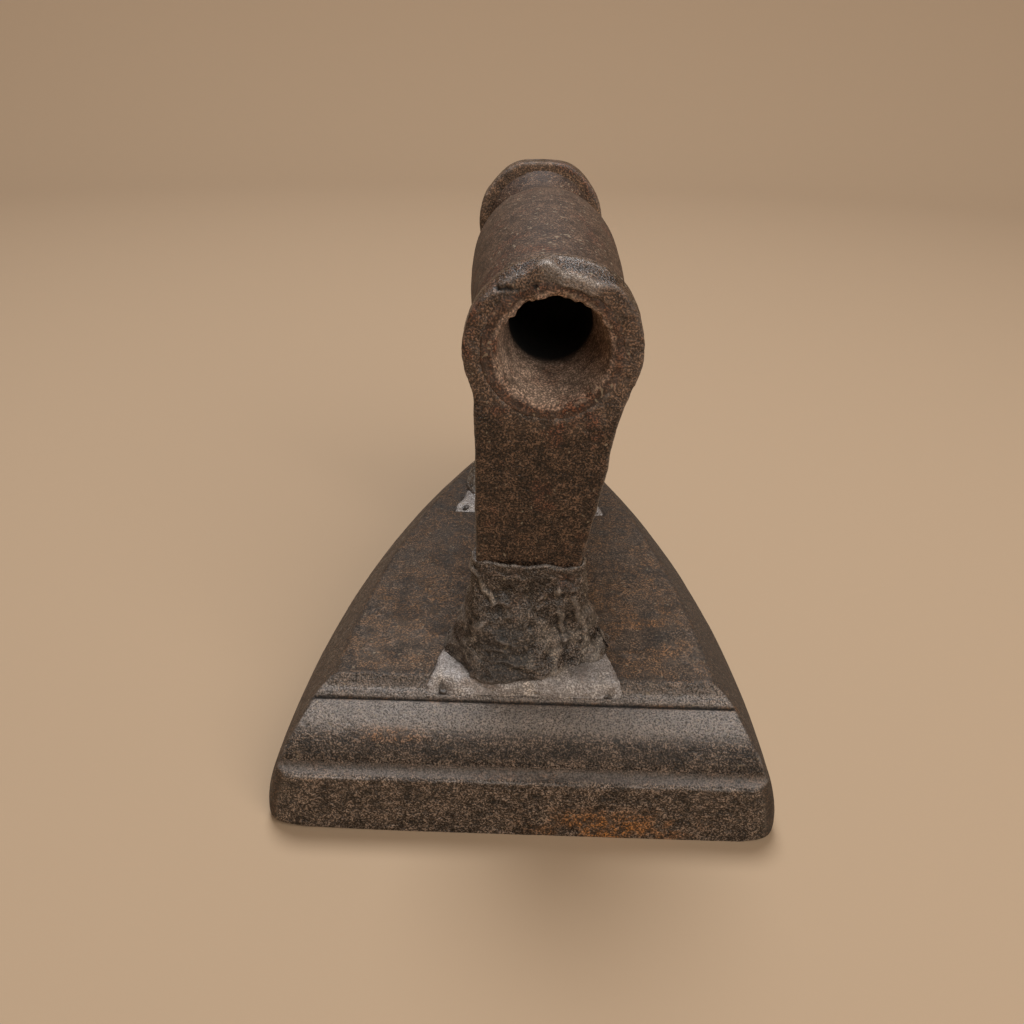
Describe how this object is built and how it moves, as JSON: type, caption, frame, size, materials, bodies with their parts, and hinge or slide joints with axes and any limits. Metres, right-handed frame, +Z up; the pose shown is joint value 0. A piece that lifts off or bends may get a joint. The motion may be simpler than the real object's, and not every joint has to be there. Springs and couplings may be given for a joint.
{
  "type": "clothes iron",
  "caption": "Solid cast flat iron, arch-shaped in plan with a moulded heel, carried by a hollow barrel grip that sits in the eyes of forged strap legs.",
  "frame": {"origin": "middle of the sole's length and width, on the surface the iron stands on", "axes": "+Y along the iron to the toe, +X to the right seen from the heel, +Z up"},
  "size_m": [0.1038, 0.1602, 0.1138],
  "materials": {
    "body_iron": "old cast surface with brown rust, bare on the high edges",
    "rear_leg_iron": "hammered wrought iron, evenly rusted dark brown",
    "front_leg_iron": "hammered wrought iron, evenly rusted dark brown",
    "grip_iron": "worn smooth by the hand, fine brown rust",
    "collar_iron": "wrinkled run-in metal, dark brown",
    "plug_iron": "smooth grey poured metal",
    "pin_iron": "small worn pin ends"
  },
  "bodies": {
    "root": {"cast_body": "body_iron", "grip_tube": "grip_iron", "rear_leg": "rear_leg_iron", "front_leg": "front_leg_iron", "rear_foot_collar": "collar_iron", "front_foot_collar": "collar_iron", "rear_socket_plug": "plug_iron", "front_socket_plug": "plug_iron", "rear_plug_pins": "pin_iron", "front_plug_pins": "pin_iron"}
  },
  "joints": []
}
